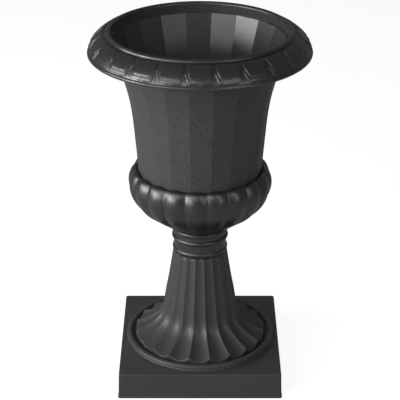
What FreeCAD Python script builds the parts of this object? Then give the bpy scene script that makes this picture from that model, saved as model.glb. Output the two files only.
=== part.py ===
import FreeCAD, Part
import math
import os

# A classical urn planter, moulded in thin plastic shells that stack on one centre line:
# a square plinth, a fluted pedestal, a gadrooned cup with a ringed neck, and a faceted
# bell-shaped bowl with a rolled rim. A bolt through the floors clamps the shells together.
# Millimetres and degrees. +Z is up, the origin is the centre of the footprint on the ground,
# and turns of a repeated pattern count from the front, which faces -Y.

V = FreeCAD.Vector
FRONT = -90.0
BEYOND = 500.0
OVERRUN = 5.0
ROWS = 15
SEW_TOLERANCE = 1e-4

# ---- plinth ----
PLINTH_SIDE = 189.8
PLINTH_HEIGHT = 31.5
PLINTH_DRAFT = 1.4
PLINTH_CORNER = 2.6
PLINTH_EDGE = 1.5
PLINTH_WALL = 3.0
TOE_HEIGHT = 3.4
TOE_INSET = 0.45
UNDER_RIBS = 8
UNDER_RIB_THICKNESS = 2.0
UNDER_RIB_HEIGHT = 10.0
RING_MARGIN = 5.9
RING_TUBE = 3.8
RING_SINK = 0.3
STEP_RISE = 4.0
STEP_GAP = 0.4
PLINTH_TOP_SIDE = PLINTH_SIDE - 2 * PLINTH_DRAFT
RING_RADIUS = PLINTH_TOP_SIDE / 2 - RING_MARGIN - RING_TUBE

# ---- fluted pedestal, seated inside the plinth's ring; profile as (radius, height) ----
FLUTES = 20
FLUTE_TURN = 8.6
FLUTE_DEPTH_SHARE = 0.16
FOOT_DEPTH_SHARE = 0.22
PEDESTAL_WALL = 2.6
PEDESTAL_RISE = 116.0
FOOT_MARGIN = 2.8
FOOT_SEAT_WIDTH = 6.0
COLLAR_GAP = 0.3
COLLAR_WALL = 2.4
COLLAR_DEPTH = 6.0
SHOULDER_THICKNESS = 4.0
FOOT_RADIUS = RING_RADIUS - RING_TUBE - FOOT_MARGIN
PLINTH_BORE = FOOT_RADIUS - FOOT_SEAT_WIDTH
COLLAR_RADIUS = PLINTH_BORE - COLLAR_GAP
COLLAR_BORE = COLLAR_RADIUS - COLLAR_WALL
SHOULDER_HEIGHT = PLINTH_HEIGHT + PEDESTAL_RISE
ARRIS_PROFILE = [(31.6, SHOULDER_HEIGHT), (34.6, PLINTH_HEIGHT + 96.5), (38.6, PLINTH_HEIGHT + 72.5),
                 (41.6, PLINTH_HEIGHT + 56.5), (44.3, PLINTH_HEIGHT + 40.5), (48.6, PLINTH_HEIGHT + 30.0),
                 (55.2, PLINTH_HEIGHT + 23.2), (63.5, PLINTH_HEIGHT + 17.8),
                 (FOOT_RADIUS, PLINTH_HEIGHT + 11.8), (FOOT_RADIUS + 13.0, PLINTH_HEIGHT + 7.6)]

# ---- ringed neck, over the pedestal's spigot; rings as (rise, height, half width) ----
NECK_RISE = 32.5
NECK_GROOVE_RADIUS = 30.5
NECK_WALL = 3.6
NECK_GAP = 0.4
NECK_RING_ROOT = 0.5
NECK_TOP_RADIUS = 35.2
SPIGOT_WALL = 2.5
SPIGOT_RISE = 17.5
WEB_THICKNESS = 3.0
WEB_DRAINS = 4
WEB_DRAIN_RADIUS = 3.0
WEB_DRAIN_MARGIN = 3.0
NECK_TOP = SHOULDER_HEIGHT + NECK_RISE
NECK_BORE = NECK_GROOVE_RADIUS - NECK_WALL
SPIGOT_RADIUS = NECK_BORE - NECK_GAP
SPIGOT_BORE = SPIGOT_RADIUS - SPIGOT_WALL
NECK_RINGS = [(1.5, SHOULDER_HEIGHT + 4.4, 2.6), (2.2, SHOULDER_HEIGHT + 19.0, 2.9), (2.7, NECK_TOP - 3.1, 2.9)]
WEB_TOP = SHOULDER_HEIGHT + SPIGOT_RISE
WEB_UNDERSIDE = WEB_TOP - WEB_THICKNESS

# ---- drain plugs, in a ring of drains through the bowl's floor ----
PLUGS = 4
PLUG_TURN = 45.0
PLUG_CIRCLE = 34.0
DRAIN_RADIUS = 7.0
PLUG_GAP = 0.3
PLUG_STICKOUT = 2.0
PLUG_FLANGE_WIDTH = 3.0
PLUG_FLANGE_THICKNESS = 2.0
TAB_WIDTH = 9.0
TAB_HEIGHT = 8.0
TAB_THICKNESS = 2.6
TAB_HOLE_RADIUS = 2.0

# ---- gadrooned cup, with the ledge that the bowl sits on ----
LOBES = 20
LOBE_TURN = 5.6
LOBE_DEPTH = 3.0
LOBE_FADE = 1.5
CUP_WALL = 2.5
LIP_GAP = 0.5
LIP_DEPTH = 12.0
SEAT_RISE = 24.0
SEAT_THICKNESS = 3.0
SEAT_MARGIN = 3.0
SEAT_RIBS = 10
SEAT_RIB_THICKNESS = 2.0
SEAT_RIB_HEIGHT = 9.0
SEAT_HEIGHT = NECK_TOP + SEAT_RISE
SEAT_BORE = PLUG_CIRCLE + DRAIN_RADIUS + SEAT_MARGIN
CREST_PROFILE = [(NECK_TOP_RADIUS, NECK_TOP), (45.2, NECK_TOP + 8.0), (56.3, NECK_TOP + 16.0),
                 (67.2, SEAT_HEIGHT + 0.2), (76.7, SEAT_HEIGHT + 12.0), (81.4, SEAT_HEIGHT + 24.0),
                 (81.9, SEAT_HEIGHT + 35.0), (78.6, SEAT_HEIGHT + 44.0), (74.0, SEAT_HEIGHT + 48.6),
                 (69.8, SEAT_HEIGHT + 47.2)]

# ---- rolled rim, reaching out from the band's bore and rising from the bell's top ----
BELL_RISE = 200.0
BAND_BORE = 98.0
BAND_WALL = 2.4
LEDGE_DROP = 0.5
RIM_WALL = 2.2
BEAD_RADIUS = 3.0
BEAD_RISE = 9.0
GROOVE_REACH = 7.7
GROOVE_RISE = 7.4
ROUND_MIDDLE_REACH = 17.4
ROUND_MIDDLE_RISE = 0.6
ROUND_REACH = 23.9
ROUND_DROP = 8.4
ROLL_RADIUS = 2.5
ROLL_INSET = 0.4
ROLL_DROP = 4.1
BELL_TOP = SEAT_HEIGHT + BELL_RISE
LEDGE_HEIGHT = BELL_TOP - LEDGE_DROP
BEAD_HEIGHT = BELL_TOP + BEAD_RISE
GROOVE = (BAND_BORE + GROOVE_REACH, BELL_TOP + GROOVE_RISE)
ROUND_MIDDLE = (BAND_BORE + ROUND_MIDDLE_REACH, BELL_TOP + ROUND_MIDDLE_RISE)
ROUND_END = (BAND_BORE + ROUND_REACH, BELL_TOP - ROUND_DROP)
ROLL_CENTRE = (ROUND_END[0] - ROLL_INSET, ROUND_END[1] - ROLL_DROP)

# ---- tongues round the rim, each with a raised panel, and the gaps between them ----
TONGUES = 24
PLATE_RISE = 1.0
PANEL_RISE = 1.0
PANEL_TOP_MARGIN = 1.6
PANEL_FOOT_MARGIN = 1.9
PANEL_TAPER = 5.3
PANEL_SPACING = 3.85
PANEL_FOOT_SPACING = 12.6
GAP_APEX_REACH = 17.5
GAP_OVERRUN = 3.1
GAP_FOOT_HALF_WIDTH = 5.6
PANEL_TOP_RADIUS = GROOVE[0] + PANEL_TOP_MARGIN
PANEL_FOOT_RADIUS = ROUND_END[0] - PANEL_FOOT_MARGIN
GAP_APEX_RADIUS = BAND_BORE + GAP_APEX_REACH
GAP_FOOT_RADIUS = ROUND_END[0] + GAP_OVERRUN

# ---- faceted bell ----
FACETS = 20
FACET_TURN = 10.0
BOWL_WALL = 2.4
FLOOR_THICKNESS = 3.0
FLOOR_TOP = SEAT_HEIGHT + FLOOR_THICKNESS
FACET_PROFILE = [(55.0, SEAT_HEIGHT), (63.6, SEAT_HEIGHT + 9.0), (68.2, SEAT_HEIGHT + 22.0),
                 (69.9, SEAT_HEIGHT + 38.0), (70.6, SEAT_HEIGHT + 58.0), (72.3, SEAT_HEIGHT + 80.0),
                 (74.7, BELL_TOP - 92.0), (77.9, BELL_TOP - 68.0), (82.6, BELL_TOP - 48.0),
                 (BAND_BORE - 8.0, BELL_TOP - 24.0), (BAND_BORE - 0.7, BELL_TOP)]

# ---- clamping bolt and its fittings ----
BOLT_RADIUS = 4.0
BOLT_STICKOUT = 6.8
BOLT_HOLE_GAP = 0.4
HEAD_ACROSS_FLATS = 13.0
HEAD_HEIGHT = 5.3
HEAD_CHAMFER = 1.3
SEAL_THICKNESS = 2.0
SEAL_RADIUS = 12.0
WASHER_THICKNESS = 1.6
WASHER_RADIUS = 10.0
NUT_HEIGHT = 8.0
NUT_RADIUS = 8.0
NUT_TAPER = 1.6
NUT_GAP = 0.05
WING_REACH = 18.0
WING_SHOULDER = 9.0
WING_TIP_WIDTH = 5.4
WING_DROP = 9.0
WING_THICKNESS = 3.0
BOLT_HOLE_RADIUS = BOLT_RADIUS + BOLT_HOLE_GAP
HEAD_SEAT = FLOOR_TOP + SEAL_THICKNESS + WASHER_THICKNESS
NUT_TOP = WEB_UNDERSIDE - WASHER_THICKNESS
NUT_FOOT = NUT_TOP - NUT_HEIGHT


# ---- geometry helpers ----
def turned(shape, degrees):
    copy = shape.copy()
    copy.rotate(V(0, 0, 0), V(0, 0, 1), degrees)
    return copy


def around(shape, count, start=0.0):
    """Copies of a shape, evenly spaced about the centre line."""
    return [turned(shape, start + 360.0 / count * index) for index in range(count)]


def disc(radius, bottom, top):
    return Part.makeCylinder(radius, top - bottom, V(0, 0, bottom))


def tube(bore, radius, bottom, top):
    return disc(radius, bottom, top).cut(disc(bore, bottom, top))


def section_point(point):
    return V(point[0], 0, point[1])


def line(start, end):
    return Part.LineSegment(section_point(start), section_point(end)).toShape()


def arc(start, middle, end):
    return Part.Arc(section_point(start), section_point(middle), section_point(end)).toShape()


def revolved(edges):
    """The solid swept by a closed section in the XZ plane about the centre line."""
    face = Part.Face(Part.Wire(edges))
    return face.revolve(V(0, 0, 0), V(0, 0, 1), 360)


def chain(points):
    return [line(start, end) for start, end in zip(points, points[1:])]


def curve_through(points):
    curve = Part.BSplineCurve()
    curve.interpolate([section_point(point) for point in points])
    return curve


def stations(points):
    """Evenly spaced (position, outward normal) pairs along a smooth profile; the first normal is level."""
    curve = curve_through(points)
    span = curve.LastParameter - curve.FirstParameter
    side = 1 if points[1][1] > points[0][1] else -1
    result = []
    for index in range(ROWS):
        place = curve.FirstParameter + span * index / (ROWS - 1)
        tangent = curve.tangent(place)[0]
        outward = V(side * tangent.z, 0, -side * tangent.x)
        result.append((curve.value(place), V(1, 0, 0) if index == 0 else outward))
    return result


def ribbed_solid(rows, count, turn, drop_to=None):
    """A solid whose skin repeats one swelling panel about the centre line.

    Each row pairs the (radius, height) of a panel's two side edges with that of its middle.
    The last row ends on a flat cap, or on a vertical skirt down to a cap at height drop_to.
    """
    half = math.pi / count
    grid = []
    for edge, middle in rows:
        chord = edge[0] * math.cos(half)
        points = []
        for share in (-1.0, -0.5, 0.0, 0.5, 1.0):
            swell = 1 - share ** 2
            depth = chord + (middle[0] - chord) * swell
            height = edge[1] + (middle[1] - edge[1]) * swell
            points.append(V(edge[0] * math.sin(half) * share, -depth, height))
        grid.append(points)
    skin = Part.BSplineSurface()
    skin.interpolate(grid)
    first, last = skin.bounds()[:2]
    first_edge = skin.uIso(first)
    last_edge = skin.uIso(last)
    faces = around(skin.toShape(), count, turn)
    if drop_to is not None:
        dropped = last_edge.copy()
        for index, pole in enumerate(last_edge.getPoles()):
            dropped.setPole(index + 1, V(pole.x, pole.y, drop_to))
        skirt = Part.makeRuledSurface(last_edge.toShape(), dropped.toShape())
        faces += around(skirt, count, turn)
        last_edge = dropped
    for boundary in (first_edge, last_edge):
        outline = Part.Wire(Part.__sortEdges__(around(boundary.toShape(), count, turn)))
        faces.append(Part.Face(outline))
    shell = Part.makeCompound(faces)
    shell.sewShape(SEW_TOLERANCE)
    solid = Part.Solid(shell.Shells[0])
    if solid.Volume < 0:
        solid.reverse()
    return solid


def rounded_square(side, corner, height):
    """A square outline with rounded corners, centred on the centre line."""
    reach = side / 2
    flat = reach - corner
    diagonal = flat + corner * math.sqrt(0.5)
    edges = []
    for index in range(4):
        run = Part.LineSegment(V(reach, -flat, height), V(reach, flat, height)).toShape()
        bend = Part.Arc(V(reach, flat, height), V(diagonal, diagonal, height), V(flat, reach, height)).toShape()
        edges += [turned(run, 90 * index), turned(bend, 90 * index)]
    return Part.Wire(edges)


def square_block(bottom_side, top_side, corner, bottom, top):
    outlines = [rounded_square(bottom_side, corner, bottom), rounded_square(top_side, corner, top)]
    return Part.makeLoft(outlines, True, True)


def radial_slab(inner, outer, thickness, bottom, top):
    return Part.makeBox(outer - inner, thickness, top - bottom, V(inner, -thickness / 2, bottom))


# ---- plinth, with the ring moulding on its top ----
def plinth_side_at(height):
    """The side of the plinth's tapered body, which stands a little inside its toe."""
    foot_side = PLINTH_SIDE - 2 * TOE_INSET
    return foot_side + (PLINTH_TOP_SIDE - foot_side) * height / PLINTH_HEIGHT


def plinth_block():
    toe_side = plinth_side_at(TOE_HEIGHT)
    body = square_block(toe_side, PLINTH_TOP_SIDE, PLINTH_CORNER, TOE_HEIGHT, PLINTH_HEIGHT)
    top_edges = [edge for edge in body.Edges
                 if all(abs(vertex.Z - PLINTH_HEIGHT) < SEW_TOLERANCE for vertex in edge.Vertexes)]
    body = body.makeFillet(PLINTH_EDGE, top_edges)
    toe = square_block(PLINTH_SIDE, toe_side + 2 * TOE_INSET, PLINTH_CORNER, 0, TOE_HEIGHT)
    return body.fuse(toe)


def ring_moulding():
    """A half-round ring on straight sides, with a low step inside it round the pedestal's foot."""
    centre = PLINTH_HEIGHT + RING_TUBE - RING_SINK
    bottom = PLINTH_HEIGHT - RING_SINK
    ring = Part.makeTorus(RING_RADIUS, RING_TUBE, V(0, 0, centre))
    root = tube(RING_RADIUS - RING_TUBE, RING_RADIUS + RING_TUBE, bottom, centre)
    step = tube(FOOT_RADIUS + STEP_GAP, RING_RADIUS, bottom, PLINTH_HEIGHT + STEP_RISE)
    return ring.fuse([root, step])


def make_plinth():
    plinth_floor = PLINTH_HEIGHT - PLINTH_WALL
    inner_drop = 2 * PLINTH_WALL
    underside = square_block(PLINTH_SIDE - inner_drop, plinth_side_at(plinth_floor) - inner_drop,
                             PLINTH_CORNER, 0, plinth_floor)
    rib = radial_slab(PLINTH_BORE, BEYOND, UNDER_RIB_THICKNESS, plinth_floor - UNDER_RIB_HEIGHT, plinth_floor)
    underside = underside.cut(around(rib, UNDER_RIBS, 180.0 / UNDER_RIBS))
    bore = disc(PLINTH_BORE, 0, PLINTH_HEIGHT)
    return plinth_block().fuse(ring_moulding()).cut([underside, bore]).removeSplitter()


# ---- fluted pedestal, with a collar in the plinth's bore and a spigot for the neck ----
def flute_rows():
    """Arris and trough of a flute at each station: the trough lies square to the arris line."""
    rows = []
    top_radius = ARRIS_PROFILE[0][0]
    for position, outward in stations(ARRIS_PROFILE):
        width = 2 * position.x * math.sin(math.pi / FLUTES)
        flare = (position.x - top_radius) / (FOOT_RADIUS - top_radius)
        share = FLUTE_DEPTH_SHARE + (FOOT_DEPTH_SHARE - FLUTE_DEPTH_SHARE) * flare
        trough = position - outward * (share * width)
        rows.append(((position.x, position.z), (trough.x, trough.z)))
    return rows


def pedestal_cavity(rows):
    """The hollow inside the trumpet, one wall inside the bottoms of the flutes."""
    outline = [(row[1][0] - PEDESTAL_WALL * normal.x, row[1][1] - PEDESTAL_WALL * normal.z)
               for row, (position, normal) in zip(rows, stations(ARRIS_PROFILE))]
    last = outline[-1]
    edges = [curve_through(outline).toShape()]
    edges += chain([last, (last[0], 0), (0, 0), (0, SHOULDER_HEIGHT), outline[0]])
    ceiling = SHOULDER_HEIGHT - SHOULDER_THICKNESS
    hollow = revolved(edges).common(disc(COLLAR_BORE, 0, ceiling))
    return hollow.fuse(disc(SPIGOT_BORE, ceiling, WEB_UNDERSIDE))


def make_pedestal():
    rows = flute_rows()
    trumpet = ribbed_solid(rows, FLUTES, FLUTE_TURN + 180.0 / FLUTES, drop_to=PLINTH_HEIGHT - OVERRUN)
    trumpet = trumpet.common(disc(FOOT_RADIUS, PLINTH_HEIGHT, SHOULDER_HEIGHT))
    collar = disc(COLLAR_RADIUS, PLINTH_HEIGHT - COLLAR_DEPTH, PLINTH_HEIGHT + COLLAR_WALL)
    spigot = disc(SPIGOT_RADIUS, SHOULDER_HEIGHT - SHOULDER_THICKNESS, WEB_TOP)
    solid = trumpet.fuse([collar, spigot]).cut(pedestal_cavity(rows))
    bolt_hole = disc(BOLT_HOLE_RADIUS, WEB_UNDERSIDE, WEB_TOP)
    drain_centre = V(SPIGOT_BORE - WEB_DRAIN_MARGIN - WEB_DRAIN_RADIUS, 0, WEB_UNDERSIDE)
    drain = Part.makeCylinder(WEB_DRAIN_RADIUS, WEB_THICKNESS, drain_centre)
    return solid.cut([bolt_hole] + around(drain, WEB_DRAINS, PLUG_TURN)).removeSplitter()


# ---- gadrooned cup with ringed neck, one moulding ----
def lobe_rows():
    """Valley and crest of a lobe at each station; the lobes fade out towards the neck."""
    widest = max(radius for radius, height in CREST_PROFILE)
    rows = []
    for position, outward in stations(CREST_PROFILE):
        fade = max(position.x - NECK_TOP_RADIUS, 0) / (widest - NECK_TOP_RADIUS)
        valley = position - outward * (LOBE_DEPTH * fade ** LOBE_FADE)
        rows.append(((valley.x, valley.z), (position.x, position.z)))
    return rows


def neck_solid():
    """The neck from the pedestal's shoulder up into the cup, with its half-round rings."""
    neck = disc(NECK_GROOVE_RADIUS, SHOULDER_HEIGHT, NECK_TOP + OVERRUN)
    rings = []
    root = NECK_GROOVE_RADIUS - NECK_RING_ROOT
    for rise, height, half_width in NECK_RINGS:
        low = (root, height - half_width)
        high = (root, height + half_width)
        rings.append(revolved([arc(low, (NECK_GROOVE_RADIUS + rise, height), high), line(high, low)]))
    return neck.fuse(rings)


def cup_cavity(rows):
    """The hollow of the cup, one wall inside the valleys, less the seat ledge and its ribs."""
    outline = [(row[0][0] - CUP_WALL * normal.x, row[0][1] - CUP_WALL * normal.z)
               for row, (position, normal) in zip(rows, stations(CREST_PROFILE))]
    first = outline[0]
    last = outline[-1]
    edges = [curve_through(outline).toShape()]
    edges += chain([last, (0, last[1]), (0, first[1]), first])
    hollow = revolved(edges).common(disc(BEYOND, NECK_TOP + CUP_WALL, BELL_TOP))
    ledge = tube(SEAT_BORE, BEYOND, SEAT_HEIGHT - SEAT_THICKNESS, SEAT_HEIGHT)
    rib = radial_slab(SEAT_BORE, BEYOND, SEAT_RIB_THICKNESS,
                      SEAT_HEIGHT - SEAT_THICKNESS - SEAT_RIB_HEIGHT, SEAT_HEIGHT - SEAT_THICKNESS)
    return hollow.cut([ledge] + around(rib, SEAT_RIBS))


def make_cup():
    rows = lobe_rows()
    lip_top = max(height for radius, height in CREST_PROFILE)
    lip_bore = facet_radius_at(lip_top) / math.cos(math.pi / FACETS) + LIP_GAP
    lobes = ribbed_solid(rows, LOBES, LOBE_TURN + 180.0 / LOBES, drop_to=lip_top - LIP_DEPTH)
    neck_bore = disc(NECK_BORE, SHOULDER_HEIGHT, NECK_TOP + OVERRUN)
    lip_hole = disc(lip_bore, lip_top - LIP_DEPTH, lip_top + OVERRUN)
    return lobes.fuse(neck_solid()).cut([cup_cavity(rows), neck_bore, lip_hole]).removeSplitter()


# ---- faceted bowl with rolled rim, one moulding ----
def facet_radius_at(height):
    """The distance from the centre line to a facet's outer face at a height."""
    curve = curve_through(FACET_PROFILE)
    level = Part.LineSegment(V(0, 0, height), V(BEYOND, 0, height)).toShape()
    return level.distToShape(curve.toShape())[1][0][1].x


def facet_solid(inset, bottom, top):
    """The faceted bell between two heights, with its faces moved inwards by inset."""
    corner = math.cos(math.pi / FACETS)
    rows = [(((position.x - inset) / corner, position.z), (position.x - inset, position.z))
            for position, outward in stations(FACET_PROFILE)]
    bell = ribbed_solid(rows, FACETS, FACET_TURN + 180.0 / FACETS)
    return bell.common(disc(BEYOND, bottom, top))


def round_circle():
    """Centre and radius of the round of the rim, through the groove, its middle and its end."""
    circle = arc(GROOVE, ROUND_MIDDLE, ROUND_END).Curve
    return (circle.Center.x, circle.Center.z), circle.Radius


def on_circle(centre, radius, degrees):
    turn = math.radians(degrees)
    return (centre[0] + radius * math.cos(turn), centre[1] + radius * math.sin(turn))


def round_angles():
    centre, radius = round_circle()
    low = math.degrees(math.atan2(ROUND_END[1] - centre[1], ROUND_END[0] - centre[0]))
    high = math.degrees(math.atan2(GROOVE[1] - centre[1], GROOVE[0] - centre[0]))
    return low, high


def round_layer(low_rise, high_rise, low_angle, high_angle):
    """A curved skin over the round of the rim, between two rises above its base surface."""
    centre, radius = round_circle()
    middle = (low_angle + high_angle) / 2
    inner = [on_circle(centre, radius + low_rise, angle) for angle in (low_angle, middle, high_angle)]
    outer = [on_circle(centre, radius + high_rise, angle) for angle in (high_angle, middle, low_angle)]
    return revolved([arc(*inner), line(inner[2], outer[0]), arc(*outer), line(outer[2], inner[0])])


def round_angle_at(radius):
    """The angle on the plate's surface that lies at a distance from the centre line."""
    centre, round_radius = round_circle()
    return math.degrees(math.acos((radius - centre[0]) / (round_radius + PLATE_RISE)))


def plan_prism(points):
    """A vertical prism over an outline of (radius, sideways) points, spanning the rim's height."""
    floor = ROLL_CENTRE[1]
    corners = [V(radius, side, floor) for radius, side in points]
    outline = Part.makePolygon(corners + corners[:1])
    return Part.Face(outline).extrude(V(0, 0, BEAD_HEIGHT + OVERRUN - floor))


def rim_gap():
    """The V-shaped gap between two tongues, cut through the plate."""
    low, high = round_angles()
    outline = plan_prism([(GAP_APEX_RADIUS, 0), (GAP_FOOT_RADIUS, -GAP_FOOT_HALF_WIDTH),
                          (GAP_FOOT_RADIUS, GAP_FOOT_HALF_WIDTH)])
    return round_layer(0, PLATE_RISE + PANEL_RISE, low, high).common(outline)


def rim_panel():
    """The raised panel on a tongue: sides square to its foot, then a taper down to it."""
    spread = math.tan(math.pi / TONGUES)
    bend = PANEL_FOOT_RADIUS - PANEL_TAPER
    half_width = PANEL_TOP_RADIUS * spread - PANEL_SPACING / 2
    foot_half_width = PANEL_FOOT_RADIUS * spread - PANEL_FOOT_SPACING / 2
    half_outline = [(PANEL_TOP_RADIUS - PANEL_RISE, half_width), (bend, half_width),
                    (PANEL_FOOT_RADIUS + PANEL_RISE, foot_half_width)]
    mirrored = [(radius, -side) for radius, side in reversed(half_outline)]
    layer = round_layer(0, PLATE_RISE + PANEL_RISE, round_angle_at(PANEL_FOOT_RADIUS),
                        round_angle_at(PANEL_TOP_RADIUS))
    return layer.common(plan_prism(half_outline + mirrored))


def rim_solid():
    """The upright band, top bead, groove, tongued round and rolled lip, open underneath."""
    centre, radius = round_circle()
    low, high = round_angles()
    middle = (low + high) / 2
    bead_centre = BAND_BORE + BEAD_RADIUS
    band_outside = BAND_BORE + BAND_WALL
    band_bottom = LEDGE_HEIGHT - RIM_WALL
    lip_foot = ROLL_CENTRE[1]
    inner = [on_circle(centre, radius - RIM_WALL, angle) for angle in (low, middle, high)]
    outer = [on_circle(centre, radius + PLATE_RISE, angle) for angle in (high, middle, low)]
    skin = [arc(*inner)]
    skin += chain([inner[2], (band_outside, inner[2][1]), (band_outside, band_bottom), (BAND_BORE, band_bottom),
                   (BAND_BORE, BEAD_HEIGHT), (bead_centre, BEAD_HEIGHT), on_circle(centre, radius, high), outer[0]])
    skin += [arc(*outer)]
    skin += chain([outer[2], on_circle(centre, radius, low), (ROLL_CENTRE[0] + ROLL_RADIUS / 2, lip_foot),
                   (ROLL_CENTRE[0] - ROLL_RADIUS / 2, lip_foot), inner[0]])
    roll = Part.makeTorus(ROLL_CENTRE[0], ROLL_RADIUS, V(0, 0, ROLL_CENTRE[1]))
    bead = Part.makeTorus(bead_centre, BEAD_RADIUS, V(0, 0, BEAD_HEIGHT))
    rim = revolved(skin).fuse([roll, bead])
    gaps = around(rim_gap(), TONGUES, FRONT + 180.0 / TONGUES)
    return rim.cut(gaps).fuse(around(rim_panel(), TONGUES, FRONT))


def make_bowl():
    hollow = facet_solid(BOWL_WALL, FLOOR_TOP, LEDGE_HEIGHT)
    bell = facet_solid(0, SEAT_HEIGHT, BELL_TOP).cut(hollow)
    band = disc(BAND_BORE, LEDGE_HEIGHT, BEAD_HEIGHT + BEAD_RADIUS)
    bolt_hole = disc(BOLT_HOLE_RADIUS, SEAT_HEIGHT, FLOOR_TOP)
    drain = Part.makeCylinder(DRAIN_RADIUS, FLOOR_THICKNESS, V(PLUG_CIRCLE, 0, SEAT_HEIGHT))
    bell = bell.fuse(rim_solid())
    return bell.cut([band, bolt_hole] + around(drain, PLUGS, PLUG_TURN)).removeSplitter()


# ---- clamping bolt, washers and wing nut ----
def make_bolt():
    corner = HEAD_ACROSS_FLATS / 2 / math.cos(math.pi / 6)
    points = [V(corner * math.cos(math.pi / 3 * index), corner * math.sin(math.pi / 3 * index), HEAD_SEAT)
              for index in range(6)]
    head = Part.Face(Part.makePolygon(points + points[:1])).extrude(V(0, 0, HEAD_HEIGHT))
    crown = Part.makeCone(corner + HEAD_HEIGHT, corner - HEAD_CHAMFER, HEAD_HEIGHT, V(0, 0, HEAD_SEAT))
    shank = disc(BOLT_RADIUS, NUT_FOOT - BOLT_STICKOUT, HEAD_SEAT)
    return head.common(crown).fuse(shank)


def make_wing_nut():
    """A nut that is clamped up against the web, with two wings that droop below it."""
    body = Part.makeCone(NUT_RADIUS - NUT_TAPER, NUT_RADIUS, NUT_HEIGHT, V(0, 0, NUT_FOOT))
    side = -WING_THICKNESS / 2
    tip = NUT_TOP - WING_DROP
    outline = [V(0, side, NUT_TOP), V(WING_SHOULDER, side, NUT_TOP), V(WING_REACH, side, tip),
               V(WING_REACH - WING_TIP_WIDTH, side, tip - WING_THICKNESS), V(0, side, NUT_FOOT)]
    wing = Part.Face(Part.makePolygon(outline + outline[:1])).extrude(V(0, WING_THICKNESS, 0))
    bore = disc(BOLT_RADIUS + NUT_GAP, NUT_FOOT - WING_DROP, NUT_TOP)
    return body.fuse([wing, turned(wing, 180)]).cut(bore).removeSplitter()


def washer(radius, bottom, thickness):
    return tube(BOLT_HOLE_RADIUS, radius, bottom, bottom + thickness)


# ---- drain plugs ----
def make_plug():
    """A push-in plug with a flange that rests on the bowl's floor and a pull tab above it."""
    stem = disc(DRAIN_RADIUS - PLUG_GAP, SEAT_HEIGHT - PLUG_STICKOUT, FLOOR_TOP)
    flange_top = FLOOR_TOP + PLUG_FLANGE_THICKNESS
    flange = disc(DRAIN_RADIUS + PLUG_FLANGE_WIDTH, FLOOR_TOP, flange_top)
    tab_round = flange_top + TAB_HEIGHT - TAB_WIDTH / 2
    tab = Part.makeBox(TAB_WIDTH, TAB_THICKNESS, tab_round - flange_top,
                       V(-TAB_WIDTH / 2, -TAB_THICKNESS / 2, flange_top))
    start = V(0, -TAB_THICKNESS / 2, tab_round)
    tab = tab.fuse(Part.makeCylinder(TAB_WIDTH / 2, TAB_THICKNESS, start, V(0, 1, 0)))
    eye = Part.makeCylinder(TAB_HOLE_RADIUS, TAB_THICKNESS, start, V(0, 1, 0))
    plug = stem.fuse([flange, tab]).cut(eye).removeSplitter()
    plug.translate(V(PLUG_CIRCLE, 0, 0))
    return plug


def build():
    nodes = {
        "plinth": make_plinth(),
        "fluted_pedestal": make_pedestal(),
        "gadrooned_cup": make_cup(),
        "bell_bowl": make_bowl(),
        "clamp_bolt": make_bolt(),
        "bolt_seal_washer": washer(SEAL_RADIUS, FLOOR_TOP, SEAL_THICKNESS),
        "bolt_head_washer": washer(WASHER_RADIUS, FLOOR_TOP + SEAL_THICKNESS, WASHER_THICKNESS),
        "wing_nut_washer": washer(WASHER_RADIUS, NUT_TOP, WASHER_THICKNESS),
        "wing_nut": make_wing_nut(),
    }
    for index, plug in enumerate(around(make_plug(), PLUGS, PLUG_TURN)):
        nodes["drain_plug_%d" % (index + 1)] = plug
    return nodes


os.makedirs("parts", exist_ok=True)
for name, shape in build().items():
    shape.exportStep("parts/%s.step" % name)
    box = shape.BoundBox
    print("%-18s solids %d valid %s volume %.0f  x %.1f..%.1f  z %.1f..%.1f"
          % (name, len(shape.Solids), shape.isValid(), shape.Volume, box.XMin, box.XMax, box.ZMin, box.ZMax))
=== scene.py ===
import math

import bmesh
import bpy
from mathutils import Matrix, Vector


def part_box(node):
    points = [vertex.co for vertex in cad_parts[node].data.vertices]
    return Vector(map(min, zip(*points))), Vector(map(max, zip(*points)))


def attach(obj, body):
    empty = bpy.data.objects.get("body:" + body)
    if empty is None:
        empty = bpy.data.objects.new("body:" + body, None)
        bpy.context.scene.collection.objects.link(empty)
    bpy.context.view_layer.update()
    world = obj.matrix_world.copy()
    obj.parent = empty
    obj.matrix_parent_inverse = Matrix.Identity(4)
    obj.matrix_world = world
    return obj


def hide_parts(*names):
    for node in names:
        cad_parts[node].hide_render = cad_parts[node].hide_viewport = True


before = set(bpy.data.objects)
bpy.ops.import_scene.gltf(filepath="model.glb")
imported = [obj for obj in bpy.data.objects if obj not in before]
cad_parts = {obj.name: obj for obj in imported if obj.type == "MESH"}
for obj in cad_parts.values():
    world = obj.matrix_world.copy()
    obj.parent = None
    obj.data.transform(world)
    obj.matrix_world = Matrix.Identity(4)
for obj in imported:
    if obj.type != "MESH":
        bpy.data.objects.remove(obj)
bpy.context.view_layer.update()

MM = 0.001


# ---- camera, at the photograph's angle ----
CAMERA_DISTANCE = 1.6137
CAMERA_TILT = math.radians(25.25)
CAMERA_TARGET_HEIGHT = 0.2092
FOCAL_PIXELS = 1397.8
IMAGE_PIXELS = 400.0
SENSOR_WIDTH = 36.0
FARTHEST_SEEN = 50.0

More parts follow.
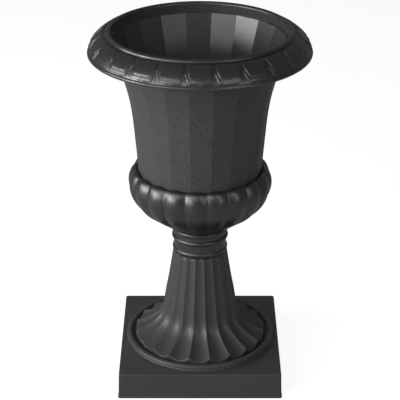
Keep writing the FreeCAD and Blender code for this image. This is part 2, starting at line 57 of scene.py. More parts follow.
camera_data = bpy.data.cameras.new("photo_camera")
camera = bpy.data.objects.new("photo_camera", camera_data)
bpy.context.scene.collection.objects.link(camera)
camera.location = (0.0, -CAMERA_DISTANCE * math.cos(CAMERA_TILT),
                   CAMERA_TARGET_HEIGHT + CAMERA_DISTANCE * math.sin(CAMERA_TILT))
camera.rotation_euler = (math.pi / 2 - CAMERA_TILT, 0.0, 0.0)
camera_data.sensor_width = SENSOR_WIDTH
camera_data.lens = FOCAL_PIXELS / IMAGE_PIXELS * SENSOR_WIDTH
camera_data.clip_end = FARTHEST_SEEN
bpy.context.scene.camera = camera
bpy.context.scene.view_settings.view_transform = "Standard"


# ---- materials ----
MOTTLE_SHARE = 0.45
GRAIN_HEIGHT = 0.3 * MM
ZINC_GRAIN_HEIGHT = 0.1 * MM
WORN_ROUGHER = 0.15
MARKED_ROUGHER = 0.2


def add_node(tree, kind, label=None, **values):
    """A shader node with its properties and constant inputs set."""
    node = tree.nodes.new(kind)
    if label:
        node.label = label
    for name, value in values.items():
        if hasattr(node, name):
            setattr(node, name, value)
        else:
            node.inputs[name.replace("_", " ")].default_value = value
    return node


def new_group(name, inputs, outputs):
    """An empty shader node group; sockets are (name, type, default) and (name, type)."""
    tree = bpy.data.node_groups.new(name, "ShaderNodeTree")
    for socket, kind, default in inputs:
        made = tree.interface.new_socket(socket, in_out="INPUT", socket_type=kind)
        made.default_value = default
    for socket, kind in outputs:
        tree.interface.new_socket(socket, in_out="OUTPUT", socket_type=kind)
    return tree, tree.nodes.new("NodeGroupInput"), tree.nodes.new("NodeGroupOutput")


FLOAT = "NodeSocketFloat"
VECTOR = "NodeSocketVector"


def build_mould_grain():
    """The pebbled skin that an etched mould leaves: small flat bumps over a slow waviness."""
    tree, given, result = new_group(
        "mould_grain",
        [("Vector", VECTOR, (0, 0, 0)), ("Pebble Scale", FLOAT, 900.0), ("Pebble", FLOAT, 1.0),
         ("Waviness", FLOAT, 1.0)],
        [("Height", FLOAT), ("Mottle", FLOAT)])
    links = tree.links
    pebbles = add_node(tree, "ShaderNodeTexNoise", "pebbles", Detail=3.0, Roughness=0.62)
    links.new(given.outputs["Vector"], pebbles.inputs["Vector"])
    links.new(given.outputs["Pebble Scale"], pebbles.inputs["Scale"])
    waves = add_node(tree, "ShaderNodeTexNoise", "slow waves", Scale=42.0, Detail=2.0)
    links.new(given.outputs["Vector"], waves.inputs["Vector"])
    pebble_height = add_node(tree, "ShaderNodeMath", operation="MULTIPLY")
    links.new(pebbles.outputs["Fac"], pebble_height.inputs[0])
    links.new(given.outputs["Pebble"], pebble_height.inputs[1])
    wave_height = add_node(tree, "ShaderNodeMath", operation="MULTIPLY")
    links.new(waves.outputs["Fac"], wave_height.inputs[0])
    links.new(given.outputs["Waviness"], wave_height.inputs[1])
    height = add_node(tree, "ShaderNodeMath", operation="ADD")
    links.new(pebble_height.outputs[0], height.inputs[0])
    links.new(wave_height.outputs[0], height.inputs[1])
    mottle = add_node(tree, "ShaderNodeTexNoise", "mottle", Detail=4.0, Roughness=0.7)
    mottle_scale = add_node(tree, "ShaderNodeMath", operation="MULTIPLY")
    links.new(given.outputs["Pebble Scale"], mottle_scale.inputs[0])
    mottle_scale.inputs[1].default_value = MOTTLE_SHARE
    links.new(mottle_scale.outputs[0], mottle.inputs["Scale"])
    links.new(given.outputs["Vector"], mottle.inputs["Vector"])
    spread = add_node(tree, "ShaderNodeMapRange", From_Min=0.36, From_Max=0.64)
    links.new(mottle.outputs["Fac"], spread.inputs["Value"])
    links.new(height.outputs[0], result.inputs["Height"])
    links.new(spread.outputs["Result"], result.inputs["Mottle"])
    return tree


def build_rub_marks():
    """Long faint rub marks, broken up by a slow noise so that most of the surface stays clean."""
    tree, given, result = new_group(
        "rub_marks", [("Vector", VECTOR, (0, 0, 0)), ("Amount", FLOAT, 0.5)], [("Mask", FLOAT)])
    links = tree.links
    stretch = add_node(tree, "ShaderNodeMapping", Rotation=(0.4, 0.9, 0.2), Scale=(160.0, 160.0, 14.0))
    links.new(given.outputs["Vector"], stretch.inputs["Vector"])
    streaks = add_node(tree, "ShaderNodeTexNoise", "streaks", Scale=1.0, Detail=4.0, Roughness=0.75)
    links.new(stretch.outputs["Vector"], streaks.inputs["Vector"])
    thin = add_node(tree, "ShaderNodeMapRange", From_Min=0.60, From_Max=0.74)
    links.new(streaks.outputs["Fac"], thin.inputs["Value"])
    patches = add_node(tree, "ShaderNodeTexNoise", "patches", Scale=17.0, Detail=2.0)
    links.new(given.outputs["Vector"], patches.inputs["Vector"])
    where = add_node(tree, "ShaderNodeMapRange", From_Min=0.48, From_Max=0.72)
    links.new(patches.outputs["Fac"], where.inputs["Value"])
    together = add_node(tree, "ShaderNodeMath", operation="MULTIPLY")
    links.new(thin.outputs["Result"], together.inputs[0])
    links.new(where.outputs["Result"], together.inputs[1])
    amount = add_node(tree, "ShaderNodeMath", operation="MULTIPLY", use_clamp=True)
    links.new(together.outputs[0], amount.inputs[0])
    links.new(given.outputs["Amount"], amount.inputs[1])
    links.new(amount.outputs[0], result.inputs["Mask"])
    return tree


def build_settled_dust():
    """A film of dust that lies thickest on what faces up."""
    tree, given, result = new_group(
        "settled_dust", [("Vector", VECTOR, (0, 0, 0)), ("Amount", FLOAT, 0.2)], [("Mask", FLOAT)])
    links = tree.links
    facing = add_node(tree, "ShaderNodeNewGeometry")
    upward = add_node(tree, "ShaderNodeSeparateXYZ")
    links.new(facing.outputs["Normal"], upward.inputs["Vector"])
    level = add_node(tree, "ShaderNodeMapRange", From_Min=0.3, From_Max=1.0)
    links.new(upward.outputs["Z"], level.inputs["Value"])
    clumps = add_node(tree, "ShaderNodeTexNoise", "clumps", Scale=260.0, Detail=5.0, Roughness=0.7)
    links.new(given.outputs["Vector"], clumps.inputs["Vector"])
    uneven = add_node(tree, "ShaderNodeMapRange", From_Min=0.35, From_Max=0.75)
    links.new(clumps.outputs["Fac"], uneven.inputs["Value"])
    together = add_node(tree, "ShaderNodeMath", operation="MULTIPLY")
    links.new(level.outputs["Result"], together.inputs[0])
    links.new(uneven.outputs["Result"], together.inputs[1])
    amount = add_node(tree, "ShaderNodeMath", operation="MULTIPLY", use_clamp=True)
    links.new(together.outputs[0], amount.inputs[0])
    links.new(given.outputs["Amount"], amount.inputs[1])
    links.new(amount.outputs[0], result.inputs["Mask"])
    return tree


mould_grain = build_mould_grain()
rub_marks = build_rub_marks()
settled_dust = build_settled_dust()


def place_group(tree, group, **values):
    node = tree.nodes.new("ShaderNodeGroup")
    node.node_tree = group
    for name, value in values.items():
        node.inputs[name.replace("_", " ")].default_value = value
    return node


def new_material(name):
    material = bpy.data.materials.new(name)
    material.use_nodes = True
    tree = material.node_tree
    tree.nodes.clear()
    shader = tree.nodes.new("ShaderNodeBsdfPrincipled")
    output = tree.nodes.new("ShaderNodeOutputMaterial")
    tree.links.new(shader.outputs["BSDF"], output.inputs["Surface"])
    place = tree.nodes.new("ShaderNodeTexCoord")
    return material, tree, shader, place.outputs["Object"]


def mix_colours(tree, mask, plain, worn):
    """Mixes a plain colour, given as a value or an output, with a worn one."""
    mix = add_node(tree, "ShaderNodeMix", data_type="RGBA")
    if isinstance(plain, bpy.types.NodeSocket):
        tree.links.new(plain, mix.inputs["A"])
    else:
        mix.inputs["A"].default_value = plain
    mix.inputs["B"].default_value = worn
    tree.links.new(mask, mix.inputs["Factor"])
    return mix.outputs["Result"]


def grey(value):
    return (value, value, value, 1.0)


def moulded_plastic(name, shade, worn_shade, uneven, gloss, rough, pebble_scale, pebble, bump, dust):
    """Black moulded plastic: pebbled grain, a mottled shade and sheen, rub marks and a trace of dust.

    uneven is how far the mottle takes the shade up and down, and rough is where it takes the roughness.
    """
    material, tree, shader, place = new_material(name)
    shader.inputs["Specular IOR Level"].default_value = gloss
    links = tree.links
    grain = place_group(tree, mould_grain, Pebble_Scale=pebble_scale, Pebble=pebble, Waviness=0.5)
    marks = place_group(tree, rub_marks, Amount=0.55)
    dusty = place_group(tree, settled_dust, Amount=dust)
    for group in (grain, marks, dusty):
        links.new(place, group.inputs["Vector"])
    both = add_node(tree, "ShaderNodeMath", operation="MAXIMUM")
    links.new(marks.outputs["Mask"], both.inputs[0])
    links.new(dusty.outputs["Mask"], both.inputs[1])
    skin = mix_colours(tree, grain.outputs["Mottle"],
                       grey(shade * (1 - uneven)), grey(shade * (1 + uneven)))
    links.new(mix_colours(tree, both.outputs[0], skin, grey(worn_shade)), shader.inputs["Base Color"])
    sheen = add_node(tree, "ShaderNodeMapRange", "mottled sheen", To_Min=rough[0], To_Max=rough[1])
    links.new(grain.outputs["Mottle"], sheen.inputs["Value"])
    dulled = add_node(tree, "ShaderNodeMath", operation="MULTIPLY_ADD")
    links.new(both.outputs[0], dulled.inputs[0])
    dulled.inputs[1].default_value = WORN_ROUGHER
    links.new(sheen.outputs["Result"], dulled.inputs[2])
    links.new(dulled.outputs[0], shader.inputs["Roughness"])
    relief = add_node(tree, "ShaderNodeBump", Strength=bump, Distance=GRAIN_HEIGHT)
    links.new(grain.outputs["Height"], relief.inputs["Height"])
    links.new(relief.outputs["Normal"], shader.inputs["Normal"])
    return material


pebbled_black = moulded_plastic(
    "pebbled_black_plastic", shade=0.056, worn_shade=0.090, uneven=0.30, gloss=0.42, rough=(0.36, 0.56),
    pebble_scale=850.0, pebble=2.4, bump=1.0, dust=0.10)
satin_black = moulded_plastic(
    "satin_black_plastic", shade=0.053, worn_shade=0.085, uneven=0.14, gloss=0.44, rough=(0.34, 0.45),
    pebble_scale=1600.0, pebble=0.5, bump=0.30, dust=0.12)
rim_black = moulded_plastic(
    "satin_black_rim", shade=0.022, worn_shade=0.050, uneven=0.14, gloss=0.78, rough=(0.27, 0.33),
    pebble_scale=1600.0, pebble=0.4, bump=0.14, dust=0.12)
glossy_black = moulded_plastic(
    "semi_gloss_black_plastic", shade=0.009, worn_shade=0.028, uneven=0.14, gloss=1.0, rough=(0.31, 0.37),
    pebble_scale=1600.0, pebble=0.4, bump=0.14, dust=0.06)
smooth_black = moulded_plastic(
    "smooth_black_plastic", shade=0.060, worn_shade=0.095, uneven=0.12, gloss=0.45, rough=(0.22, 0.28),
    pebble_scale=1600.0, pebble=0.2, bump=0.15, dust=0.06)


def zinc_plate():
    """Bright zinc plating: a grainy sheen with faint yellow and blue patches and tool marks."""
    material, tree, shader, place = new_material("zinc_plated_steel")
    links = tree.links
    shader.inputs["Metallic"].default_value = 1.0
    patches = add_node(tree, "ShaderNodeTexNoise", "patches", Scale=140.0, Detail=3.0)
    marks = place_group(tree, rub_marks, Amount=0.8)
    grain = place_group(tree, mould_grain, Pebble_Scale=2600.0, Pebble=0.6, Waviness=0.3)
    for target in (patches.inputs["Vector"], marks.inputs["Vector"], grain.inputs["Vector"]):
        links.new(place, target)
    tint = add_node(tree, "ShaderNodeMapRange", From_Min=0.35, From_Max=0.65)
    links.new(patches.outputs["Fac"], tint.inputs["Value"])
    links.new(mix_colours(tree, tint.outputs["Result"], (0.60, 0.58, 0.52, 1), (0.56, 0.59, 0.62, 1)),
              shader.inputs["Base Color"])
    sheen = add_node(tree, "ShaderNodeMapRange", "grainy sheen", To_Min=0.26, To_Max=0.42)
    links.new(grain.outputs["Mottle"], sheen.inputs["Value"])
    dulled = add_node(tree, "ShaderNodeMath", operation="MULTIPLY_ADD")
    links.new(marks.outputs["Mask"], dulled.inputs[0])
    dulled.inputs[1].default_value = MARKED_ROUGHER
    links.new(sheen.outputs["Result"], dulled.inputs[2])
    links.new(dulled.outputs[0], shader.inputs["Roughness"])
    relief = add_node(tree, "ShaderNodeBump", Strength=0.2, Distance=ZINC_GRAIN_HEIGHT)
    links.new(grain.outputs["Height"], relief.inputs["Height"])
    links.new(relief.outputs["Normal"], shader.inputs["Normal"])
    return material


zinc = zinc_plate()
seal_black = moulded_plastic(
    "seal_rubber_black", shade=0.030, worn_shade=0.055, uneven=0.2, gloss=0.30, rough=(0.60, 0.75),
    pebble_scale=1900.0, pebble=0.8, bump=0.35, dust=0.10)
plug_black = moulded_plastic(
    "plug_rubber_black", shade=0.042, worn_shade=0.075, uneven=0.2, gloss=0.35, rough=(0.48, 0.62),
    pebble_scale=1500.0, pebble=0.7, bump=0.35, dust=0.15)


# ---- shells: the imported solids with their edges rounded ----
MERGE_DISTANCE = 0.005 * MM
CREASE_ANGLE = 36.0
SHARP_EDGE = 30.0
FACET_EDGE = 12.0

EDGE_RADIUS = 0.30 * MM
RIM_EDGE_RADIUS = 0.45 * MM
PLINTH_EDGE_RADIUS = 0.6 * MM
FOOT_EDGE_RADIUS = 0.9 * MM

BELL_TOP = 404.0 * MM
RIM_INSIDE = 98.0 * MM
RIM_SKIN_START = RIM_INSIDE + 0.1 * MM
RIM_BEAD_FLOOR = BELL_TOP + 8 * MM
PANEL_START = RIM_INSIDE + 8.2 * MM
PANEL_EDGE_FLOOR = 396.4 * MM
ARRIS_FLOOR = 258.0 * MM
ARRIS_TOP = BELL_TOP - 6 * MM
FACET_TOP = BELL_TOP - 0.2 * MM
LIP_TOP = 249.0 * MM
LIP_INSIDE = 72.0 * MM
FLUTE_EDGE_START = 30.6 * MM
FOOT_RADIUS = 77.2 * MM
FLUTE_EDGE_END = FOOT_RADIUS - 1.5 * MM
SCALLOP_RADIUS = FOOT_RADIUS - 0.15 * MM
FOOT_EDGE_FLOOR = 35.0 * MM


def clear_selection():
    if bpy.context.mode != "OBJECT":
        bpy.ops.object.mode_set(mode="OBJECT")
    bpy.ops.object.select_all(action="DESELECT")


def pick(piece):
    clear_selection()
    piece.select_set(True)
    bpy.context.view_layer.objects.active = piece


def radius_at(point):
    """How far a point is from the upright centre line."""
    return math.hypot(point.x, point.y)


def unselected_mesh(piece):
    """The mesh of a piece in edit mode, with nothing in it selected."""
    mesh = bmesh.from_edit_mesh(piece.data)
    for part in (mesh.verts, mesh.edges, mesh.faces):
        for item in part:
            item.select = False
    return mesh


def select_edges(piece, wanted):
    """In edit mode, leaves selected only the edges for which wanted(edge, middle, angle) holds."""
    mesh = unselected_mesh(piece)
    for edge in mesh.edges:
        if len(edge.link_faces) == 2:
            middle = (edge.verts[0].co + edge.verts[1].co) / 2
            if wanted(edge, middle, math.degrees(edge.calc_face_angle())):
                edge.select = True
    mesh.select_flush_mode()
    bmesh.update_edit_mesh(piece.data)


def select_faces(piece, wanted):
    """In edit mode, leaves selected only the faces for which wanted(face) holds."""
    mesh = unselected_mesh(piece)
    for face in mesh.faces:
        if wanted(face):
            face.select = True
    mesh.select_flush_mode()
    bmesh.update_edit_mesh(piece.data)


def even_normals(piece):
    """Lets the large faces set the shading across the small ones beside them."""
    settle = piece.modifiers.new("even_normals", "WEIGHTED_NORMAL")
    settle.keep_sharp = True
    bpy.ops.object.modifier_apply(modifier="even_normals")


def never(edge, middle, angle):
    return False


def rounded_shell(node, materials, finish, roundings, creased=never):
    """A merged copy of a packed shell, with some edges rounded and a finish for each face.

    roundings holds a choice of edges, a radius and a number of segments for each rounding;
    creased chooses edges kept crisp in the shading.
    """
    shell = bpy.data.objects.new(node + "_shell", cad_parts[node].data.copy())
    bpy.context.scene.collection.objects.link(shell)
    pick(shell)
    bpy.ops.object.mode_set(mode="EDIT")
    bpy.ops.mesh.select_all(action="SELECT")
    bpy.ops.mesh.remove_doubles(threshold=MERGE_DISTANCE)
    bpy.ops.object.mode_set(mode="OBJECT")
    bpy.ops.object.shade_smooth_by_angle(angle=math.radians(CREASE_ANGLE))
    bpy.ops.object.mode_set(mode="EDIT")
    bpy.ops.mesh.select_mode(type="EDGE")
    select_edges(shell, creased)
    bpy.ops.mesh.mark_sharp()
    for wanted, radius, segments in roundings:
        select_edges(shell, wanted)
        bpy.ops.mesh.bevel(offset=radius, segments=segments, affect="EDGES", clamp_overlap=False)
    bpy.ops.object.mode_set(mode="OBJECT")
    even_normals(shell)
    shell.data.materials.clear()
    for material in materials:
        shell.data.materials.append(material)
    for face in shell.data.polygons:
        face.material_index = finish(face.center, face.normal)
    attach(shell, "urn")
    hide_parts(node)
    return shell


def outward(middle, normal):
    return middle.x * normal.x + middle.y * normal.y > 0


def bowl_edges(edge, middle, angle):
    """The edges of the rim's panels and the outer corners between the bell's facets."""
    on_rim = radius_at(middle) > PANEL_START and PANEL_EDGE_FLOOR < middle.z
    on_bell = radius_at(middle) < RIM_INSIDE and ARRIS_FLOOR < middle.z < ARRIS_TOP
    facing_out = all(outward(middle, face.normal) for face in edge.link_faces)
    return edge.is_convex and facing_out and (
        (on_rim and angle > SHARP_EDGE) or (on_bell and angle > FACET_EDGE))


def bell_arrises(edge, middle, angle):
    """The corners between the facets, inside and out, which are too blunt to crease by angle."""
    return angle > FACET_EDGE and radius_at(middle) < RIM_INSIDE and middle.z < FACET_TOP


def bowl_finish(middle, normal):
    """0 for the pebbled bell, 1 for the satin rim, 2 for the smooth inside."""
    if radius_at(middle) > RIM_SKIN_START or middle.z > RIM_BEAD_FLOOR:
        return 1
    return 0 if outward(middle, normal) else 2


def flute_edges(edge, middle, angle):
    """The ridges between the flutes."""
    return edge.is_convex and angle > SHARP_EDGE and FLUTE_EDGE_START < radius_at(middle) < FLUTE_EDGE_END


def scallop_edges(edge, middle, angle):
    """The scalloped upper edge of the foot."""
    on_edge = all(radius_at(corner.co) > SCALLOP_RADIUS for corner in edge.verts)
    return edge.is_convex and angle > SHARP_EDGE and on_edge and middle.z > FOOT_EDGE_FLOOR


def plinth_edges(edge, middle, angle):
    return edge.is_convex and angle > SHARP_EDGE


def lip_edges(edge, middle, angle):
    """The edges round the top of the cup."""
    return edge.is_convex and angle > SHARP_EDGE and middle.z > LIP_TOP and radius_at(middle) > LIP_INSIDE


def one_finish(middle, normal):
    return 0


rounded_shell("bell_bowl", (pebbled_black, rim_black, smooth_black), bowl_finish,
              [(bowl_edges, RIM_EDGE_RADIUS, 3)], bell_arrises)
rounded_shell("gadrooned_cup", (glossy_black,), one_finish, [(lip_edges, EDGE_RADIUS, 2)])
rounded_shell("fluted_pedestal", (satin_black,), one_finish,
              [(flute_edges, EDGE_RADIUS, 2), (scallop_edges, FOOT_EDGE_RADIUS, 3)])
rounded_shell("plinth", (satin_black,), one_finish,
              [(plinth_edges, PLINTH_EDGE_RADIUS, 3)])


# ---- fittings inside: bolt, washers, wing nut and drain plugs ----
LEVEL_FACING = 0.9
EASE_ANGLE = 40.0
ROUND_SIDES = 64
BOLT_SIDES = 32
NUT_SIDES = 48
PLUG_SIDES = 48
TAB_SIDES = 40

BOLT_HOLE = 4.4 * MM
SEAL_EASE = 0.5 * MM
WASHER_EASE = 0.2 * MM

SHANK_RADIUS = 4.0 * MM
SHANK_SINK = 0.5 * MM
THREAD_PITCH = 1.25 * MM
THREAD_DEPTH = 0.65 * MM
THREAD_RINGS = 4
THREAD_LENGTH = 20 * THREAD_PITCH
THREAD_CREASE = 25.0
HEAD_SIDES = 6
HEAD_TURN = math.radians(30)
HEAD_CONE_SIDES = 96
HEAD_CONE_SLOPE = 1.0
HEAD_CHAMFER = 1.3 * MM
HEAD_EASE = 0.15 * MM

NUT_RADIUS = 8.0 * MM
NUT_HEIGHT = 8.0 * MM
NUT_TAPER = 0.8
NUT_EASE = 0.25 * MM
NUT_BORE = SHANK_RADIUS + 0.05 * MM
WING_MIDDLE = 6.0 * MM
WING_ROOT = (5.0 * MM, 3.0 * MM, NUT_HEIGHT * 0.86)
WING_STEPS = ((4.5 * MM, -2.0 * MM, 0.92), (4.2 * MM, -3.2 * MM, 0.80))
WING_TIP_FACING = 0.6
WING_EASE = 1.0 * MM

PLUG_FLANGE = 2.0 * MM
PLUG_FLANGE_WIDTH = 3.3 * MM
PLUG_TAPER = 0.9
PLUG_EASE = 0.35 * MM
TAB_WIDTH = 9.0 * MM
TAB_THICKNESS = 2.6 * MM
EYE_WIDTH = 4.0 * MM


def level_face(face):
    return abs(face.normal.z) > LEVEL_FACING


def under_face(face):
    return face.normal.z < -LEVEL_FACING


def round_blank(name, radius, bottom, top, place=(0.0, 0.0), sides=ROUND_SIDES, turn=0.0):
    """An upright round or many-sided bar to start a fitting from."""
    clear_selection()
    bpy.ops.mesh.primitive_cylinder_add(
        vertices=sides, radius=radius, depth=top - bottom,
        location=(place[0], place[1], (top + bottom) / 2), rotation=(0, 0, turn))
    piece = bpy.context.object
    piece.name = name
    bpy.ops.object.transform_apply(location=True, rotation=True, scale=True)
    return piece


def drill(piece, wall):
    """Opens a bore right through a blank, leaving a wall of the given width."""
    pick(piece)
    bpy.ops.object.mode_set(mode="EDIT")
    bpy.ops.mesh.select_mode(type="FACE")
    select_faces(piece, level_face)
    bpy.ops.mesh.inset(thickness=wall)
    bpy.ops.mesh.bridge_edge_loops()
    bpy.ops.object.mode_set(mode="OBJECT")


def combine(piece, other, how):
    """Joins, cuts or crops a piece with another, which is used up."""
    pick(piece)
    work = piece.modifiers.new("work", "BOOLEAN")
    work.operation = how
    work.solver = "EXACT"
    work.object = other
    bpy.ops.object.modifier_apply(modifier="work")
    bpy.data.objects.remove(other)


def ease_edges(piece, width, segments=2):
    """Rounds every edge sharper than EASE_ANGLE and shades the rest smooth."""
    pick(piece)
    bevel = piece.modifiers.new("eased_edges", "BEVEL")
    bevel.limit_method = "ANGLE"
    bevel.angle_limit = math.radians(EASE_ANGLE)
    bevel.width = width
    bevel.segments = segments
    bpy.ops.object.modifier_apply(modifier="eased_edges")
    bpy.ops.object.shade_smooth_by_angle(angle=math.radians(EASE_ANGLE))
    even_normals(piece)


def fit(piece, node, body, material):
    """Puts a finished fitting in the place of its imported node."""
    piece.data.materials.clear()
    piece.data.materials.append(material)
    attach(piece, body)
    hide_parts(node)


def make_washer(node, material, edge):
    low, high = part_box(node)
    piece = round_blank(node + "_piece", high.x, low.z, high.z)
    drill(piece, high.x - BOLT_HOLE)
    ease_edges(piece, edge)
    fit(piece, node, "urn", material)


def cut_thread(piece, bottom, top):
    """Rings round a shank, drawn in along a helix."""
    pick(piece)
    bpy.ops.object.mode_set(mode="EDIT")
    bpy.ops.mesh.select_mode(type="EDGE")
    select_edges(piece, lambda edge, middle, angle: abs(edge.verts[0].co.z - edge.verts[1].co.z) > MM)
    bpy.ops.mesh.subdivide(number_cuts=round((top - bottom) / THREAD_PITCH) * THREAD_RINGS - 1)
    bpy.ops.object.mode_set(mode="OBJECT")
    for corner in piece.data.vertices:
        radius = radius_at(corner.co)
        if radius > THREAD_DEPTH and bottom < corner.co.z < top:
            along = corner.co.z / THREAD_PITCH - math.atan2(corner.co.y, corner.co.x) / math.tau
            drawn = THREAD_DEPTH * abs(2 * (along % 1.0) - 1)
            corner.co.x *= 1 - drawn / radius
            corner.co.y *= 1 - drawn / radius


def make_bolt():
    """Hexagon head with its corners turned off, and a shank threaded where the nut runs."""
    low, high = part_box("clamp_bolt")
    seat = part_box("bolt_head_washer")[1].z
    corner = high.x
    head = round_blank("clamp_bolt_piece", corner, seat, high.z,
                       sides=HEAD_SIDES, turn=HEAD_TURN)
    clear_selection()
    reach = high.z - seat
    bpy.ops.mesh.primitive_cone_add(
        vertices=HEAD_CONE_SIDES, radius1=corner + reach * HEAD_CONE_SLOPE, radius2=corner - HEAD_CHAMFER,
        depth=reach, location=(0, 0, (seat + high.z) / 2))
    combine(head, bpy.context.object, "INTERSECT")
    ease_edges(head, HEAD_EASE)
    shank = round_blank("shank", SHANK_RADIUS, low.z + THREAD_LENGTH, seat + SHANK_SINK, sides=BOLT_SIDES)
    thread = round_blank("thread", SHANK_RADIUS, low.z, low.z + THREAD_LENGTH, sides=BOLT_SIDES)
    cut_thread(thread, low.z, low.z + THREAD_LENGTH)
    clear_selection()
    for part in (thread, shank, head):
        part.select_set(True)
    bpy.context.view_layer.objects.active = head
    bpy.ops.object.join()
    pick(head)
    bpy.ops.object.shade_smooth_by_angle(angle=math.radians(THREAD_CREASE))
    fit(head, "clamp_bolt", "urn", zinc)


def make_wing_nut():
    """A tapered nut with two drooping wings that thicken to rounded tips."""
    low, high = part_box("wing_nut")
    washer_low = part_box("wing_nut_washer")[0]
    foot = washer_low.z - NUT_HEIGHT
    nut = round_blank("wing_nut_piece", NUT_RADIUS, foot, washer_low.z, sides=NUT_SIDES)
    pick(nut)
    bpy.ops.object.mode_set(mode="EDIT")
    bpy.ops.mesh.select_mode(type="FACE")
    select_faces(nut, under_face)
    bpy.ops.transform.resize(value=(NUT_TAPER, NUT_TAPER, 1.0), center_override=(0, 0, foot))
    bpy.ops.object.mode_set(mode="OBJECT")
    for side in (1, -1):
        clear_selection()
        bpy.ops.mesh.primitive_cube_add(
            size=1.0, location=(side * WING_MIDDLE, 0, (foot + washer_low.z) / 2))
        wing = bpy.context.object
        wing.scale = WING_ROOT
        bpy.ops.object.transform_apply(location=True, rotation=True, scale=True)
        bpy.ops.object.mode_set(mode="EDIT")
        bpy.ops.mesh.select_mode(type="FACE")
        for run, drop, height in WING_STEPS:
            select_faces(wing, lambda face: face.normal.x * side > WING_TIP_FACING)
            bpy.ops.mesh.extrude_region_move(TRANSFORM_OT_translate={"value": (side * run, 0, drop)})
            bpy.ops.transform.resize(value=(1.0, 1.0, height))
        bpy.ops.object.mode_set(mode="OBJECT")
        soften = wing.modifiers.new("soften", "BEVEL")
        soften.width = WING_EASE
        soften.segments = 3
        bpy.ops.object.modifier_apply(modifier="soften")
        combine(nut, wing, "UNION")
    bore = round_blank("bore", NUT_BORE, low.z, high.z + MM, sides=NUT_SIDES)
    combine(nut, bore, "DIFFERENCE")
    ease_edges(nut, NUT_EASE)
    fit(nut, "wing_nut", "urn", zinc)


def make_plug(number):
    """A soft plug: tapered stem, flat flange and an upright tab with an eye to pull it by."""
    node = "drain_plug_%d" % number
    low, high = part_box(node)
    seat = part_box("bolt_seal_washer")[0].z
    flange_top = seat + PLUG_FLANGE
    middle = ((low.x + high.x) / 2, (low.y + high.y) / 2)
    turn = math.atan2(middle[1], middle[0])
    plug = round_blank(node + "_piece", (high.x - low.x) / 2, seat, flange_top, middle, PLUG_SIDES)
    pick(plug)
    bpy.ops.object.mode_set(mode="EDIT")
    bpy.ops.mesh.select_mode(type="FACE")
    select_faces(plug, under_face)
    bpy.ops.mesh.inset(thickness=PLUG_FLANGE_WIDTH)
    bpy.ops.mesh.extrude_region_move(TRANSFORM_OT_translate={"value": (0, 0, low.z - seat)})
    bpy.ops.transform.resize(value=(PLUG_TAPER, PLUG_TAPER, 1.0),
                             center_override=(middle[0], middle[1], low.z))
    bpy.ops.object.mode_set(mode="OBJECT")
    eye_height = high.z - TAB_WIDTH / 2
    for width, thickness, how in ((TAB_WIDTH, TAB_THICKNESS, "UNION"),
                                  (EYE_WIDTH, 2 * TAB_THICKNESS, "DIFFERENCE")):
        clear_selection()
        bpy.ops.mesh.primitive_cylinder_add(vertices=TAB_SIDES, radius=width / 2, depth=thickness,
                                            location=(middle[0], middle[1], eye_height),
                                            rotation=(math.pi / 2, 0, turn))
        disc = bpy.context.object
        bpy.ops.object.transform_apply(location=True, rotation=True, scale=True)
        if how == "UNION":
            clear_selection()
            bpy.ops.mesh.primitive_cube_add(
                size=1.0, location=(middle[0], middle[1], (eye_height + seat) / 2), rotation=(0, 0, turn))
            post = bpy.context.object
            post.scale = (TAB_WIDTH, TAB_THICKNESS, eye_height - seat)
            bpy.ops.object.transform_apply(location=True, rotation=True, scale=True)
            combine(disc, post, "UNION")
        combine(plug, disc, how)
    ease_edges(plug, PLUG_EASE, 3)
    fit(plug, node, "plug_%d" % number, plug_black)


make_washer("bolt_seal_washer", seal_black, SEAL_EASE)
make_washer("bolt_head_washer", zinc, WASHER_EASE)
make_washer("wing_nut_washer", zinc, WASHER_EASE)
make_bolt()
make_wing_nut()
for plug_number in (1, 2, 3, 4):
    make_plug(plug_number)


# ---- floor and light ----
FLOOR_SIZE = 8.0
FLOOR_GLOW = 0.89
FLOOR_SHADE = 0.45
FLOOR_ROUGHNESS = 0.9
ROOM_LIGHT = 0.03
MIRRORED_SHARE = 0.15

SOFT_BOX_SIDE = 0.6
SOFT_BOX_DISTANCE = 1.8
LOW = 14.0
HIGH = 34.0


def seen_rays(tree):
    """1 for the rays of the eye, a share of it for gloss and glass, and 0 for rays that carry light."""
    rays = tree.nodes.new("ShaderNodeLightPath")
    seen = rays.outputs["Is Camera Ray"]
    for kind in ("Is Glossy Ray", "Is Transmission Ray"):
        share = add_node(tree, "ShaderNodeMath", operation="MULTIPLY_ADD", use_clamp=True)
        tree.links.new(rays.outputs[kind], share.inputs[0])
        share.inputs[1].default_value = MIRRORED_SHARE
        tree.links.new(seen, share.inputs[2])
        seen = share.outputs[0]
    return seen


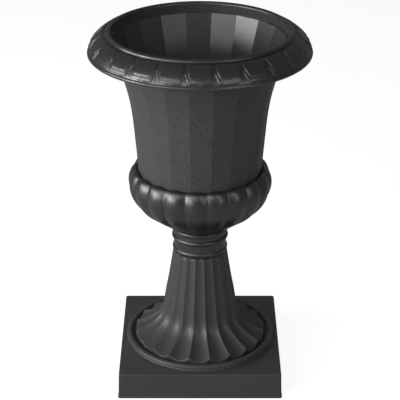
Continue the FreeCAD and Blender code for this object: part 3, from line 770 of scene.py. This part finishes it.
def pale_floor():
    """A pale floor that the eye sees as white, less the object's shadow, and gloss and glass more dimly."""
    material, tree, shader, _ = new_material("pale_floor")
    shader.inputs["Base Color"].default_value = grey(FLOOR_SHADE)
    shader.inputs["Roughness"].default_value = FLOOR_ROUGHNESS
    shader.inputs["Specular IOR Level"].default_value = 0.0
    shader.inputs["Emission Color"].default_value = grey(1.0)
    glow = add_node(tree, "ShaderNodeMath", operation="MULTIPLY")
    tree.links.new(seen_rays(tree), glow.inputs[0])
    glow.inputs[1].default_value = FLOOR_GLOW
    tree.links.new(glow.outputs[0], shader.inputs["Emission Strength"])
    return material


bpy.ops.object.select_all(action="DESELECT")
bpy.ops.mesh.primitive_plane_add(size=FLOOR_SIZE, location=(0, 0, 0))
floor = bpy.context.object
floor.name = "studio_floor"
floor.data.materials.append(pale_floor())

world = bpy.data.worlds.new("studio")
bpy.context.scene.world = world
world.use_nodes = True
sky = world.node_tree
sky.nodes.clear()
sky_output = sky.nodes.new("ShaderNodeOutputWorld")
room_light = add_node(sky, "ShaderNodeBackground", Color=grey(1.0), Strength=ROOM_LIGHT)
seen_light = add_node(sky, "ShaderNodeBackground", Color=grey(1.0), Strength=1.0)
choose = sky.nodes.new("ShaderNodeMixShader")
sky.links.new(seen_rays(sky), choose.inputs["Fac"])
sky.links.new(room_light.outputs[0], choose.inputs[1])
sky.links.new(seen_light.outputs[0], choose.inputs[2])
sky.links.new(choose.outputs[0], sky_output.inputs["Surface"])


def soft_box(name, turn, height_angle, power):
    """A square soft box aimed at the middle of the urn; turn counts from the front towards +X."""
    data = bpy.data.lights.new(name, "AREA")
    data.size = SOFT_BOX_SIDE
    data.energy = power
    lamp = bpy.data.objects.new(name, data)
    bpy.context.scene.collection.objects.link(lamp)
    around, up = math.radians(turn), math.radians(height_angle)
    level = SOFT_BOX_DISTANCE * math.cos(up)
    target = Vector((0, 0, CAMERA_TARGET_HEIGHT))
    lamp.location = target + Vector((level * math.sin(around), -level * math.cos(around),
                                     SOFT_BOX_DISTANCE * math.sin(up)))
    lamp.rotation_euler = (target - lamp.location).to_track_quat("-Z", "Y").to_euler()


soft_box("key_left", -65.0, LOW, 15.0)
soft_box("side_left", -90.0, LOW, 7.8)
soft_box("front_left", -40.0, LOW, 6.2)
soft_box("front_left_high", -40.0, HIGH, 2.6)
soft_box("front_high", -15.0, HIGH, 3.3)
soft_box("front_right_high", 30.0, HIGH, 2.4)
soft_box("key_left_high", -65.0, HIGH, 1.2)
soft_box("fill_right", 45.0, LOW, 2.1)
